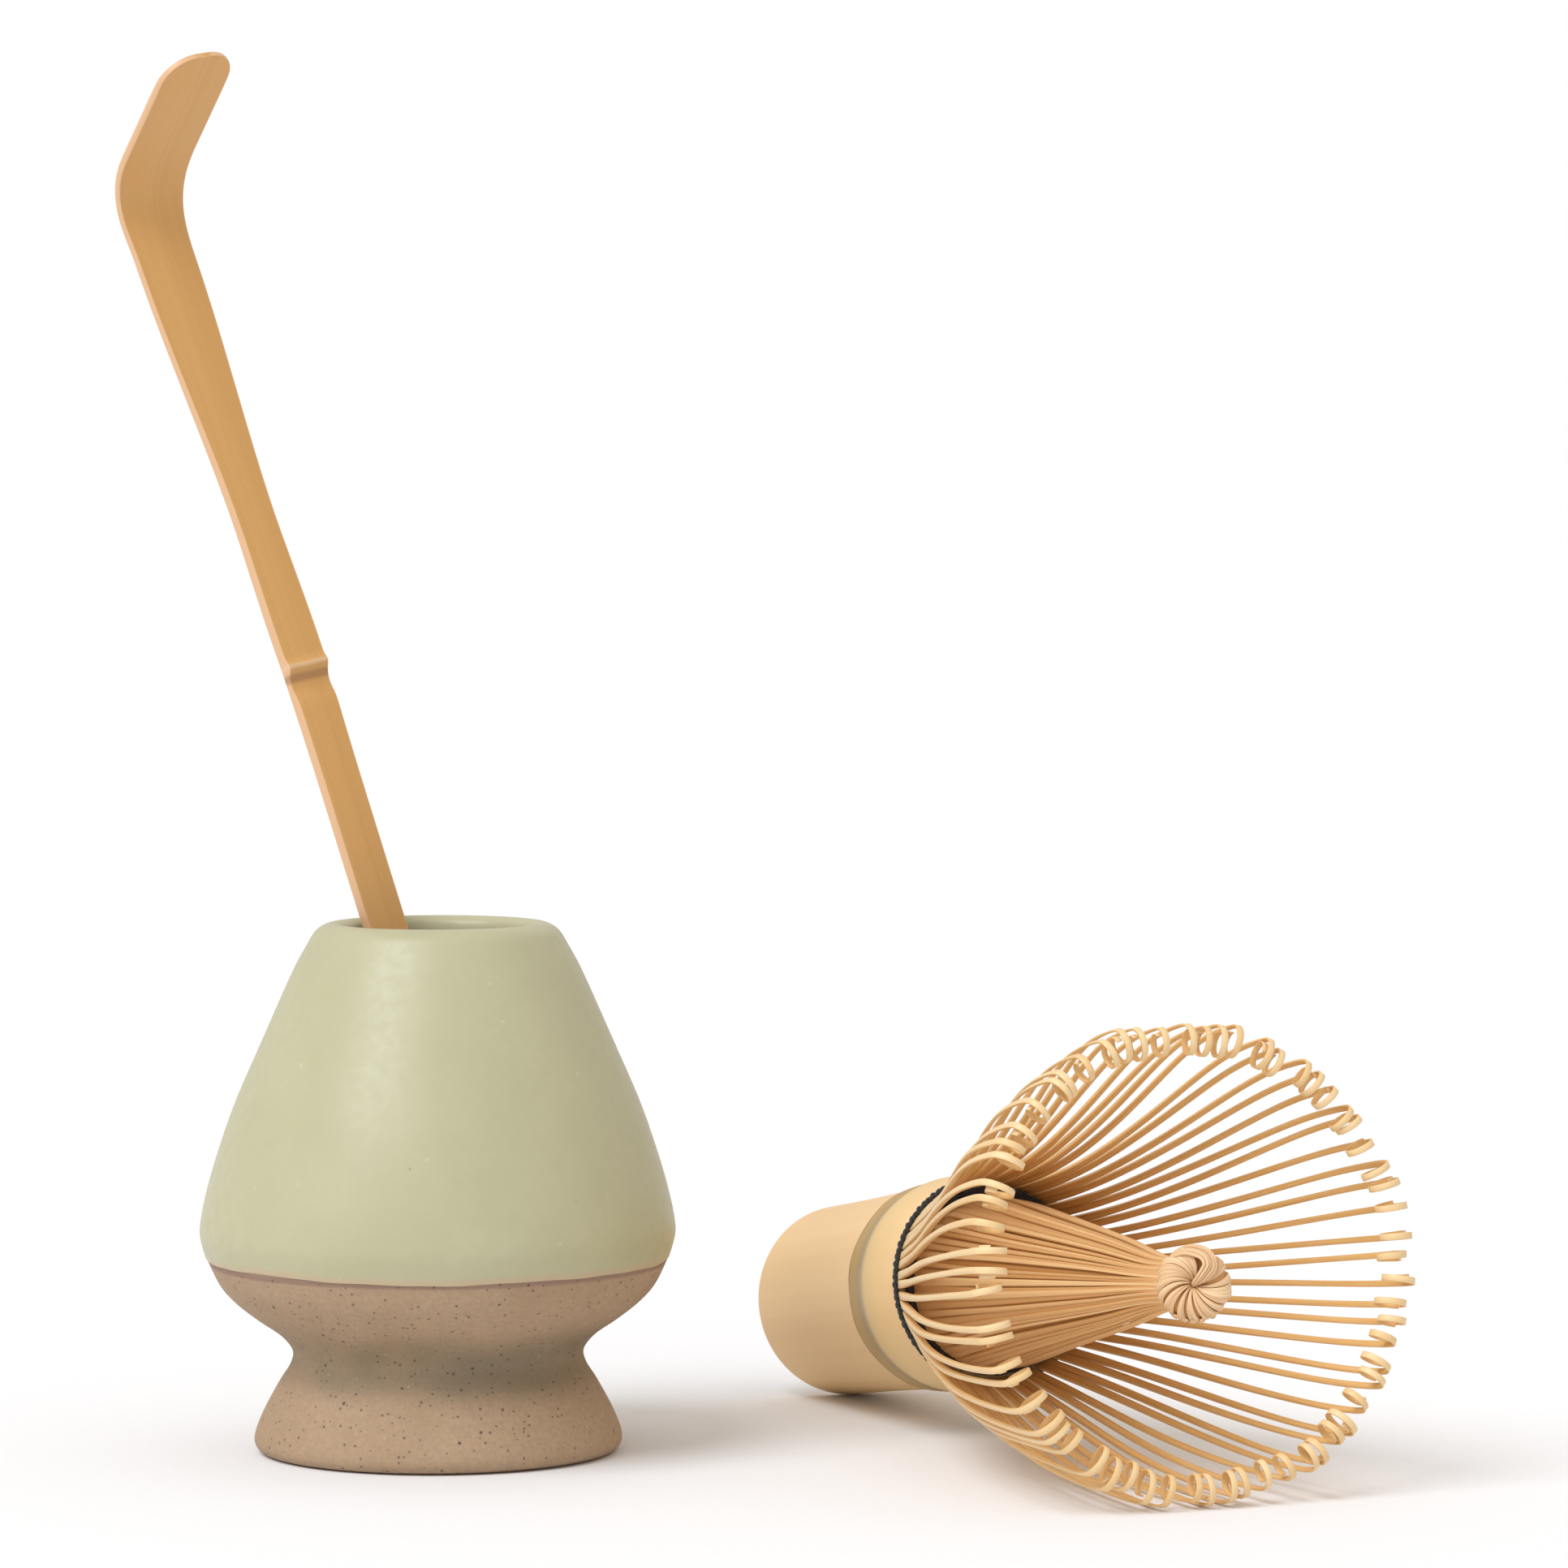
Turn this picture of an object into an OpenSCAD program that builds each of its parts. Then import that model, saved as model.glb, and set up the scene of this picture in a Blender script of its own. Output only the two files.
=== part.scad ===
/* [Stand] */
// Height of the stand, from the table to the crest of its lip
stand_h = 71.4; // [66:0.2:80]
// Radius of the belly, the widest place
belly_r = 31.9; // [30:0.2:36]
// Radius of the waist above the foot
waist_r = 19.65; // [19.2:0.05:21]
// Radius of the flared foot
foot_r = 24.8; // [23:0.1:27]
// Radius of the open mouth at its narrowest
mouth_r = 12.3; // [12:0.1:13]
// Thickness of the clay wall
wall = 4; // [3.6:0.1:4.2]
// Height of the hollow's floor above the table
floor_z = 10; // [8:0.5:10]
// Depth of the recess under the foot
recess_depth = 1.5; // [0.5:0.1:3]
// Height of the edge where the glaze stops
glaze_z = 26.2; // [24:0.2:30]
// Thickness of the glaze
glaze_t = 0.4; // [0.3:0.05:0.6]

/* [Scoop] */
// Distance from the scoop's butt to its bamboo joint
joint_s = 99; // [80:1:110]
// Distance from the butt to the start of the bent tip
bend_s = 160; // [145:1:165]
// Length of the curve of the bend
bend_len = 15; // [12:1:24]
// Length of the flat tip past the bend
tip_len = 17; // [8:0.5:18]
// Angle of the bent tip
bend_angle = 61; // [30:1:65]
// Slight backward set at the bamboo joint
joint_set = 2.7; // [0:0.1:5]
// Width of the scoop's stem
stem_w = 6.3; // [5:0.1:7]
// Width of the scoop below the bend
blade_w = 9.6; // [8:0.1:11]
// How much wider the bent tip is
tip_flare = 2.2; // [0:0.1:2.4]
// Thickness of the stem
stem_t = 1.75; // [1.4:0.05:2]
// Thickness of the blade at the tip
blade_t = 1.2; // [0.9:0.05:1.5]
// Turn of the scoop's face away from the front
scoop_turn = 40; // [30:1:50]
// Lean of the scoop to the left
lean_left = 17.4; // [17:0.1:17.8]
// Lean of the scoop to the back
lean_back = 6; // [5.5:0.1:6.5]

/* [Whisk] */
// Radius of the culm at its butt
culm_r = 13.5; // [12:0.1:14]
// Radius of the rounding of the butt's edge
butt_round = 1.7; // [0.8:0.1:2.4]
// Distance from the butt to the bamboo joint's step
step_s = 36.6; // [30:0.2:40]
// Distance from the butt to the end of the collar, where the tines start
collar_s = 52; // [48:0.5:54]
// Radius of the collar at its end
collar_r = 14.1; // [14:0.05:14.4]
// Thickness of the culm's wall
culm_wall = 3.4; // [3:0.1:3.8]
// Distance from the butt to the centre of the curls
curl_s = 115.6; // [110:0.2:120]
// Distance from the whisk's axis to the centre of the curls
curl_rho = 28.8; // [26:0.1:30]
// Outside radius of a curl
curl_r = 2.45; // [2.2:0.05:2.8]
// Number of outer tines in one sector
tines_in_sector = 8; // [6:1:8]
// Width of an outer tine
tine_w = 0.85; // [0.6:0.05:1]
// Thickness of an outer tine
tine_t = 0.5; // [0.3:0.05:0.5]
// Radius of the knot of twisted tine tips
knot_r = 4.9; // [4:0.1:5.2]
// Angle that the head of tines droops below the culm's axis
head_droop = 1.2; // [0:0.1:3]
// Further angle that the core of inner tines droops inside the head
core_droop = 2.4; // [0:0.1:3]
// How much the outer tines bow outwards on one side, and inwards on the other
tine_bow = 2.2; // [0:0.1:2.4]
// Direction in which they bow outwards, as an angle from the head's right-hand side
bow_side = -125; // [-160:5:-90]
// Diameter of the black thread
thread_d = 0.9; // [0.8:0.1:1.3]

/* [Place of the whisk] */
// Butt's centre to the right of the stand's axis
whisk_x = 55; // [50:1:90]
// Butt's centre behind the stand's axis
whisk_y = 57.4; // [40:1:70]
// Turn of the whisk's axis to the right of straight forward
whisk_turn = 22.7; // [0:0.1:40]

/* [Hidden] */
OUTER_SECTORS = 8;
INNER_SECTORS = 4;
ROUND = 96;

// A smooth curve through points p, with n steps between each pair (Catmull-Rom)
function spline(p, n) = concat(
  [for (i = [0 : len(p) - 2], k = [0 : n - 1])
    spline_at(p[max(i - 1, 0)], p[i], p[i + 1], p[min(i + 2, len(p) - 1)], k / n)],
  [p[len(p) - 1]]);
function spline_at(a, b, c, d, t) =
  0.5 * (2 * b + (c - a) * t + (2 * a - 5 * b + 4 * c - d) * t * t
         + (3 * b - a - 3 * c + d) * t * t * t);
function smooth(t) = let (u = min(max(t, 0), 1)) u * u * (3 - 2 * u);
function mix(a, b, t) = a + (b - a) * t;

// Stand. Each point is [radius, height]. The clay's outline runs from the foot up to the glaze
// edge, then under the glaze over the lip to the glaze's inner edge, and down to the floor.
bare_outline = spline([
  [foot_r - 2.2, 0], [foot_r - 0.6, 0.5], [foot_r, 2], [foot_r - 1.1, 5.2], [waist_r + 1.8, 9.4],
  [waist_r + 0.3, 11.8], [waist_r, 13.8], [waist_r + 1.7, 16], [belly_r - 7.5, 18.2],
  [belly_r - 4.6, 20.5], [belly_r - 2.6, 22.8], [belly_r - 0.95, glaze_z]], 3);
glazed_outline = spline([
  [belly_r - 0.95, glaze_z], [belly_r - 0.15, glaze_z + 2.2], [belly_r, glaze_z + 4.4],
  [belly_r - 1.6, 38], [belly_r - 4.6, 46.8], [belly_r - 8.4, 55.6], [belly_r - 12.3, 64.4],
  [mouth_r + 5.4, 68.2], [mouth_r + 3.9, stand_h - 0.9], [mouth_r + 1.9, stand_h],
  [mouth_r + 0.4, stand_h - 0.7], [mouth_r, stand_h - 2.4]], 4);
inside_outline = spline([
  [mouth_r, stand_h - 2.4], [mouth_r + 0.9, 65], [belly_r - 12.6 - wall / 2, 58],
  [belly_r - 4.4 - wall, 44], [belly_r - 0.6 - wall, 34], [belly_r - 0.9 - wall, 27],
  [waist_r + 4.6 - wall / 2, 20], [waist_r - wall + 0.3, 15.4], [waist_r - wall, 13],
  [waist_r - wall, floor_z + 1.5], [waist_r - wall - 1.5, floor_z]], 3);
recess_r = foot_r - 6.8;

// Moves each point of an outline along the outline's own normal
function inset(p, d) = [for (i = [0 : len(p) - 1])
  let (t = p[min(i + 1, len(p) - 1)] - p[max(i - 1, 0)], n = [-t.y, t.x] / norm(t)) p[i] + d * n];
under_glaze = concat([glazed_outline[0]],
  [for (i = [1 : len(glazed_outline) - 2]) inset(glazed_outline, glaze_t)[i]],
  [glazed_outline[len(glazed_outline) - 1]]);

module stand_body() {
  color("#a3917e")
    rotate_extrude($fn = ROUND)
      polygon(concat([[0, recess_depth], [recess_r - 1, recess_depth], [recess_r, 0]],
        bare_outline, [for (i = [1 : len(under_glaze) - 1]) under_glaze[i]],
        [for (i = [1 : len(inside_outline) - 1]) inside_outline[i]], [[0, floor_z]]));
}

module glaze_coat() {
  last = len(glazed_outline) - 1;
  color("#b4bd98")
    rotate_extrude($fn = ROUND)
      polygon(concat(glazed_outline, [for (i = [last - 1 : -1 : 1]) under_glaze[i]]));
}

// Scoop. Its own frame has Z along the stem from the butt, X across it, and -Y out of its face.
scoop_len = bend_s + bend_len + tip_len;
scoop_steps = 90;
scoop_x = 11.1;
scoop_y = 0.2;
scoop_z = floor_z + 1.7;
function scoop_angle(s) = s < joint_s ? 0
  : mix(-joint_set, bend_angle, smooth((s - bend_s) / bend_len));
scoop_line = let (step = scoop_len / scoop_steps)
  [for (i = 0, p = [0, 0]; i <= scoop_steps;
    p = p + step * [-sin(scoop_angle(i * step)), cos(scoop_angle(i * step))], i = i + 1) p];
function scoop_t(s) = mix(stem_t, blade_t, smooth((s - joint_s) / (bend_s - joint_s)));
function scoop_w(s) = 0.6 * exp(-pow((s - joint_s - 5) / 12, 2))
  + tip_flare * smooth((s - bend_s + 2) / bend_len)
  + mix(stem_w, blade_w, smooth((s - joint_s - 18) / (bend_s - joint_s - 20)));
// Height of the face above the plain strip: a ridge at the joint and a hollow just below it
function joint_bump(s) = 0.45 * exp(-pow((s - joint_s) / 0.9, 2))
  - 0.55 * exp(-pow((s - joint_s + 2.6) / 1.7, 2));
function scoop_side(side) = [for (i = [0 : scoop_steps])
  let (s = i * scoop_len / scoop_steps, a = scoop_angle(s),
       out = scoop_t(s) / 2 + (side < 0 ? joint_bump(s) : 0))
  scoop_line[i] + side * out * [cos(a), sin(a)]];
// The front outline by distance along the strip, and the height of each distance
tip_round = 4.5;
outline_s = concat([for (i = [0 : 45]) (scoop_len - tip_round) * i / 45],
  [for (i = [1 : 12]) scoop_len - tip_round * (1 - sin(90 * i / 12))]);
function scoop_half(s) = let (u = max(0, 1 - (scoop_len - s) / tip_round))
  scoop_w(s) / 2 - tip_round * (1 - sqrt(1 - u * u));
function scoop_height(s) =
  lookup(s, [for (i = [0 : scoop_steps]) [i * scoop_len / scoop_steps, scoop_line[i].y]]);

module scoop_place()
  translate([scoop_x, scoop_y, scoop_z]) rotate([-lean_back, 0, 0]) rotate([0, -lean_left, 0])
    rotate([0, 0, scoop_turn]) children();

module scoop() {
  right = [for (s = outline_s) [scoop_half(s), scoop_height(s)]];
  color("#d0a765")
    scoop_place() intersection() {
      rotate([90, 0, 90]) translate([0, 0, -blade_w])
        linear_extrude(2 * blade_w)
          polygon(concat(scoop_side(1),
            [for (i = [scoop_steps : -1 : 0]) scoop_side(-1)[i]]));
      rotate([90, 0, 0]) translate([0, 0, -10])
        linear_extrude(50)
          polygon(concat(right, [for (i = [len(right) - 1 : -1 : 0]) [-right[i].x, right[i].y]]));
    }
}

// Whisk. Its own frame has Z along the culm from the butt and +Y upwards. It rests on its
// butt's edge and on its curls: the tilt solves rest_a sin(tilt) + rest_b cos(tilt) = rest_c.
head_len = curl_s - collar_s;
rest_a = collar_s - butt_round + head_len * cos(head_droop) - curl_rho * sin(head_droop);
rest_b = culm_r - butt_round - head_len * sin(head_droop) - curl_rho * cos(head_droop);
rest_c = curl_r - butt_round;
whisk_tilt = atan2(rest_a, rest_b) - acos(rest_c / sqrt(rest_a * rest_a + rest_b * rest_b));
whisk_z = (culm_r - butt_round) * cos(whisk_tilt) + butt_round * (1 - sin(whisk_tilt));
module whisk_place()
  translate([whisk_x, whisk_y, whisk_z]) rotate([90 - whisk_tilt, 0, whisk_turn]) children();

// The head's own frame has Z along the head from the end of the collar
module head_turn() translate([0, 0, collar_s]) rotate([head_droop, 0, 0]) children();
module head_place() whisk_place() head_turn() children();

bore_r = culm_r - culm_wall;
diaphragm_t = 2.5;
module whisk_handle() {
  round_edge = [for (a = [0 : 15 : 90])
    [culm_r - butt_round * (1 - sin(a)), butt_round * (1 - cos(a))]];
  culm = spline([[culm_r, butt_round + 0.1], [culm_r + 0.2, step_s / 2],
    [culm_r + 0.6, step_s - 0.6]], 4);
  collar = spline([[culm_r + 1.1, step_s + 0.5], [culm_r + 0.8, step_s + 2.4],
    [culm_r + 1.4, step_s + 6.4], [culm_r + 1.3, step_s + 9], [collar_r + 0.3, collar_s - 1.6],
    [collar_r, collar_s]], 3);
  color("#d8bd8b")
    whisk_place() difference() {
      rotate_extrude($fn = ROUND)
        polygon(concat([[bore_r, 0]], round_edge, culm, [[culm_r + 1, step_s]], collar,
          [[collar_r, collar_s + 1], [bore_r, collar_s + 1], [bore_r, step_s + diaphragm_t],
           [0, step_s + diaphragm_t], [0, step_s], [bore_r, step_s]]));
      head_turn() cylinder(h = 5, r = 2 * culm_r, $fn = ROUND);
    }
}

// Outer tine, in its radial plane: [distance from the head's axis, distance from the collar]
outer_base = collar_r - 0.4 - tine_t / 2;
function outer_stem(bow) = spline([[outer_base, 0], [outer_base + 0.7 + bow / 3, 5],
  [outer_base + 4.8 + bow, 18], [outer_base + 10.4 + bow, 34], [curl_rho + 0.2, head_len - 13],
  [curl_rho + curl_r - tine_t / 2, head_len]], 3);
curl_turn = 345;
curl = [for (a = [25 : 20 : curl_turn])
  let (r = curl_r - tine_t / 2 - 0.75 * a / curl_turn)
  [curl_rho + r * cos(a), head_len + r * sin(a)]];
outer_count = OUTER_SECTORS * tines_in_sector;
module outer_tine(bow) {
  line = concat(outer_stem(bow), curl);
  last = len(line) - 1;
  outside = inset(line, -tine_t / 2);
  inside = inset(line, tine_t / 2);
  rotate([90, 0, 0]) translate([0, 0, -tine_w / 2]) linear_extrude(tine_w)
    polygon(concat([line[0] + [tine_t / 2, 0]], [for (i = [1 : last]) outside[i]],
      [for (i = [last : -1 : 1]) inside[i]], [line[0] - [tine_t / 2, 0]]));
}
module outer_tines(sector) {
  color("#e0b878")
    head_place() for (k = [0 : tines_in_sector - 1])
      let (a = -90 + (sector * tines_in_sector + k) * 360 / outer_count)
        rotate([0, 0, a]) outer_tine(tine_bow * cos(a - bow_side));
}

// Inner tine: a narrow sector of a spindle, so that it narrows towards the knot
inner_count = 64;
inner_t = 0.5;
inner_base = bore_r + 1;
knot_z = head_len - 0.6;
knot_foot = 3.9;
// The core turns as a whole about the middle of its foot, just clear of the collar
core_lift = (inner_base + 0.1) * sin(core_droop);
module core_place()
  head_place() translate([0, 0, core_lift]) rotate([core_droop, 0, 0]) children();

inner_line = spline([[inner_base, 0], [inner_base + 0.5, 5], [inner_base - 0.4, 13.5],
  [inner_base - 2.3, 26], [inner_base - 4.9, 41], [3.9, 53], [3.2, knot_z - knot_foot]], 3);
module inner_tines(sector) {
  pitch = 360 / inner_count;
  last = len(inner_line) - 1;
  inner_edge = inset(inner_line, inner_t);
  color("#d9ab68")
    core_place() for (k = [0 : inner_count / INNER_SECTORS - 1])
      rotate([0, 0, sector * 360 / INNER_SECTORS + k * pitch])
        rotate_extrude(angle = pitch * 0.78, $fn = ROUND)
          polygon(concat(inner_line, [inner_line[last] - [inner_t, 0]],
            [for (i = [last - 1 : -1 : 1]) inner_edge[i]], [[inner_base - inner_t, 0]]));
}

module tine_knot() {
  color("#e6c590")
    core_place() translate([0, 0, knot_z]) intersection() {
      sphere(r = knot_r, $fn = ROUND);
      translate([0, 0, -knot_foot]) cylinder(h = 3 * knot_r, r = 2 * knot_r, $fn = ROUND);
    }
}

// Room between a thread and the middle of the tines, which bow a little at their feet
thread_gap = 0.2;
module outer_thread() {
  color("#1d2124")
    head_place() translate([0, 0, thread_d / 2]) rotate_extrude($fn = ROUND)
      translate([outer_base + tine_t / 2 + thread_gap + thread_d / 2, 0])
        circle(d = thread_d, $fn = 24);
}

inner_thread_h = 2.4;
inner_thread_r = inner_base + 0.55;
module inner_thread() {
  color("#23262e")
    head_place() rotate_extrude($fn = ROUND)
      translate([inner_thread_r, 0])
        square([outer_base - tine_t / 2 - 2 * thread_gap - inner_thread_r, inner_thread_h]);
}

stand_body();
glaze_coat();
scoop();
whisk_handle();
for (i = [1 : OUTER_SECTORS])
  outer_tines(i - 1);
for (i = [1 : INNER_SECTORS])
  inner_tines(i - 1);
tine_knot();
outer_thread();
inner_thread();
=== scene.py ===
# %% [markdown]
# # A whisk stand, a tea scoop and a tea whisk
# The set has three things that were made in three ways: a stand thrown on a potter's wheel, a scoop carved
# and bent from one strip of bamboo, and a whisk split out of a single bamboo culm. The exact shapes were
# drawn as solids first, and they come in here as a fixed frame. Every mesh in this lesson is built in that
# same frame, so it lands where the solid is without any fitting. Lengths are written in millimetres, as a
# maker would, and become metres in one place, where a mesh is made.

# %% Load the frame
import math
import random

import bmesh
import bpy
import numpy as np
from mathutils import Matrix, Vector


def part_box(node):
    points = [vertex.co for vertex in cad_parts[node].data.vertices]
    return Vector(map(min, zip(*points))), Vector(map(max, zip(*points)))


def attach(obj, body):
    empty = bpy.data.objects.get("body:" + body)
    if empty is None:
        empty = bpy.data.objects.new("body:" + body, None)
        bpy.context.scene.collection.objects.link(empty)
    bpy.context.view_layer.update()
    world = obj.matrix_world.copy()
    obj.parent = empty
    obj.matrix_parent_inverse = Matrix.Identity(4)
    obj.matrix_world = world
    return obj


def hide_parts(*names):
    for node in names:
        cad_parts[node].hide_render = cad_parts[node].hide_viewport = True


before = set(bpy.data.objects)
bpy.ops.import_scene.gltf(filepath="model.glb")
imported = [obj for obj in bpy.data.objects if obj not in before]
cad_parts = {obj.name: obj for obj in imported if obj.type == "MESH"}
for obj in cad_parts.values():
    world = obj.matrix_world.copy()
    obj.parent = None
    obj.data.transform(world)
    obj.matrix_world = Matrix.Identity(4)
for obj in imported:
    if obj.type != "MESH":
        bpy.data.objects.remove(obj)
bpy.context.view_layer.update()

MM = 0.001
print("nodes:", ", ".join(sorted(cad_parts)))

# %% [markdown]
# ## The studio
# A product shot of pale things needs a big soft light and nothing else to look at. The floor could be a
# curved paper sweep, but a sweep hides the set when it is seen from behind. A wide flat floor under a white
# sky does the same job from every side. The key is a sun with a wide disc: its shadows are soft like a large
# window's, and it lights the floor evenly as far as the horizon, so no edge shows where the floor ends. The
# camera sees the sky as plain white, while what lights the set is a little warmer and weaker.

# %% Camera
CAMERA_PLACE = (0.04668, -0.930, 0.1365)
CAMERA_PITCH = 87.14
CAMERA_LENS = 158.94

camera = bpy.data.objects.new("camera", bpy.data.cameras.new("camera"))
camera.location = CAMERA_PLACE
camera.rotation_euler = (math.radians(CAMERA_PITCH), 0, 0)
camera.data.lens = CAMERA_LENS
camera.data.sensor_width = 36
camera.data.clip_end = 100
bpy.context.scene.collection.objects.link(camera)
bpy.context.scene.camera = camera
print("camera", CAMERA_LENS, "mm lens, looking down", round(90 - CAMERA_PITCH, 2), "degrees")

# %% Lights and sky
KEY_STRENGTH, KEY_WIDTH, KEY_COLOUR = 1.85, 36, (0.96, 0.99, 1.05)
KEY_FROM = (-0.46, -0.47, 0.75)
SKY_STRENGTH, SKY_COLOUR = 0.78, (1.0, 0.955, 0.91, 1)

key = bpy.data.objects.new("key", bpy.data.lights.new("key", "SUN"))
key.data.energy = KEY_STRENGTH
key.data.angle = math.radians(KEY_WIDTH)
key.data.color = KEY_COLOUR
key.rotation_euler = Vector(KEY_FROM).to_track_quat("Z", "Y").to_euler()
bpy.context.scene.collection.objects.link(key)

world = bpy.data.worlds.new("studio")
bpy.context.scene.world = world
world.use_nodes = True
sky = world.node_tree
sky.nodes.clear()
seen = sky.nodes.new("ShaderNodeBackground")
seen.inputs["Strength"].default_value = 1.0
seen.inputs["Color"].default_value = (1, 1, 1, 1)
lit = sky.nodes.new("ShaderNodeBackground")
lit.inputs["Strength"].default_value = SKY_STRENGTH
lit.inputs["Color"].default_value = SKY_COLOUR
path = sky.nodes.new("ShaderNodeLightPath")
pick = sky.nodes.new("ShaderNodeMixShader")
out = sky.nodes.new("ShaderNodeOutputWorld")
sky.links.new(path.outputs["Is Camera Ray"], pick.inputs["Fac"])
sky.links.new(lit.outputs[0], pick.inputs[1])
sky.links.new(seen.outputs[0], pick.inputs[2])
sky.links.new(pick.outputs[0], out.inputs["Surface"])
bpy.context.scene.view_settings.view_transform = "Standard"
print("a key light", KEY_WIDTH, "degrees wide under a white sky")

# %% [markdown]
# ## Tools for making meshes
# Turned things, such as the stand, are a profile carried round an axis. Split and carved things are a strip
# carried along a line. Both come down to the same job: rows of points joined by four-sided faces. One small
# function does that joining, and the pieces only have to say where their points are. Points also carry facts
# for the materials, such as how far along the fibre they lie, so that grain follows a bent strip.


# %% Smooth lines
def smooth(t):
    """Rises from 0 to 1 with soft ends."""
    u = np.clip(t, 0, 1)
    return u * u * (3 - 2 * u)


def spline(points, steps):
    """A smooth line through points, with that many steps between each pair."""
    p = np.array(points, float)
    line = []
    for i in range(len(p) - 1):
        a, b = p[max(i - 1, 0)], p[i]
        c, d = p[i + 1], p[min(i + 2, len(p) - 1)]
        for k in range(steps):
            t = k / steps
            line.append(0.5 * (2 * b + (c - a) * t + (2 * a - 5 * b + 4 * c - d) * t * t
                               + (3 * b - a - 3 * c + d) * t ** 3))
    line.append(p[-1])
    return np.array(line)


def unit(v):
    """Each row of v at length 1."""
    return v / np.maximum(np.linalg.norm(v, axis=-1, keepdims=True), 1e-12)


def inset(line, depth):
    """Moves each point of a flat line by depth, to its left."""
    turn = unit(np.gradient(line, axis=0))
    return line + depth * np.stack([-turn[:, 1], turn[:, 0]], axis=1)


print("a spline of 4 points and 3 steps has", len(spline(np.zeros((4, 2)), 3)), "points")


# %% Rows of points into a mesh
def skin(rows, lids=True, first=0):
    """Faces that join rows of points, each row a closed loop, with a lid on each end if asked."""
    n, m = rows.shape[:2]
    faces = []
    for i in range(n - 1):
        for j in range(m):
            k = (j + 1) % m
            faces.append((first + i * m + j, first + i * m + k,
                          first + (i + 1) * m + k, first + (i + 1) * m + j))
    if lids:
        faces.append(tuple(first + j for j in reversed(range(m))))
        faces.append(tuple(first + (n - 1) * m + j for j in range(m)))
    return faces


def build(name, points, faces, facts, material, sharp):
    """A mesh object from points in millimetres. facts maps a name to one value or vector per point."""
    mesh = bpy.data.meshes.new(name)
    mesh.from_pydata((np.asarray(points).reshape(-1, 3) * MM).tolist(), [], faces)
    for label, values in facts.items():
        values = np.asarray(values, np.float32)
        vector = values.ndim > 1
        stored = mesh.attributes.new(label, "FLOAT_VECTOR" if vector else "FLOAT", "POINT")
        stored.data.foreach_set("vector" if vector else "value", values.ravel())
    clean = bmesh.new()
    clean.from_mesh(mesh)
    bmesh.ops.remove_doubles(clean, verts=clean.verts, dist=1e-7)
    bmesh.ops.recalc_face_normals(clean, faces=clean.faces)
    clean.to_mesh(mesh)
    clean.free()
    mesh.shade_smooth()
    mesh.set_sharp_from_angle(angle=math.radians(sharp))
    made = bpy.data.objects.new(name, mesh)
    made.data.materials.append(material)
    bpy.context.scene.collection.objects.link(made)
    print(name, "has", len(mesh.vertices), "points and", len(mesh.polygons), "faces")
    return made


# %% Turned shapes and strips
def polar(rho, way, z):
    """Points at a distance rho from the axis, turned by way, at a height z."""
    return np.stack([rho * np.cos(way), rho * np.sin(way), z + 0 * way], axis=1)


def lathe(profile, segments):
    """Rows of points: the profile's [radius, height] carried round the Z axis."""
    turn = np.linspace(0, 2 * math.pi, segments, endpoint=False)
    rows = np.zeros((len(profile), segments, 3))
    rows[:, :, 0] = profile[:, :1] * np.cos(turn)
    rows[:, :, 1] = profile[:, :1] * np.sin(turn)
    rows[:, :, 2] = profile[:, 1:2]
    return rows


def strip(line, face, width, thickness, bevel=0.28):
    """Rows for a strip along line, whose broad side looks along face, with eight points round it."""
    along = unit(np.gradient(line, axis=0))
    across = unit(np.cross(along, face))
    out = unit(np.cross(across, along))
    w, t = np.asarray(width) / 2, np.asarray(thickness) / 2
    b = bevel * np.minimum(w, t)
    corners = [(w - b, t), (w, t - b), (w, b - t), (w - b, -t),
               (b - w, -t), (-w, b - t), (-w, t - b), (b - w, t)]
    rows = [line + across * np.broadcast_to(x, len(line))[:, None]
            + out * np.broadcast_to(y, len(line))[:, None] for x, y in corners]
    return np.stack(rows, axis=1)


def length_along(line):
    """How far each point of a line is from its start."""
    return np.concatenate([[0], np.cumsum(np.linalg.norm(np.diff(line, axis=0), axis=1))])


def bundle(strips, fineness):
    """Points, faces and facts of many strips. Each has its lengths, its grain's offset and its tone."""
    points, faces, grain, tone = [], [], [], []
    count = 0
    for rows, s, offset, shade in strips:
        faces += skin(rows, first=count)
        count += rows.shape[0] * rows.shape[1]
        points.append(rows.reshape(-1, 3))
        grain += [(at * MM + offset, (j % 4) * fineness, offset) for at in s for j in range(rows.shape[1])]
        tone += [shade] * (rows.shape[0] * rows.shape[1])
    return np.concatenate(points), faces, {"grain": grain, "tone": tone}


def moved(points, matrix):
    """Points through a 4x4 matrix that is written in millimetres."""
    m = np.array(matrix)
    return points @ m[:3, :3].T + m[:3, 3]


print("tools are ready")

# %% [markdown]
# ## Effects that the finishes share
# Real fired clay and real bamboo are never one flat colour. Rather than paint each material from nothing, a
# few effects are built once as node groups: soft mottling, specks, fibre streaks, and a soft band that
# follows a line with a little wander. A group gives out masks and heights only, and the shader itself stays
# in the material.


# %% A helper for node groups
def group(name, inputs, outputs):
    """A node group and its sockets inside. inputs maps a name to a default, or to None for a vector."""
    tree = bpy.data.node_groups.new(name, "ShaderNodeTree")
    for label, default in inputs.items():
        kind = "NodeSocketVector" if default is None else "NodeSocketFloat"
        made = tree.interface.new_socket(name=label, in_out="INPUT", socket_type=kind)
        if default is not None:
            made.default_value = default
    for label in outputs:
        tree.interface.new_socket(name=label, in_out="OUTPUT", socket_type="NodeSocketFloat")
    return tree, tree.nodes.new("NodeGroupInput").outputs, tree.nodes.new("NodeGroupOutput").inputs


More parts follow.
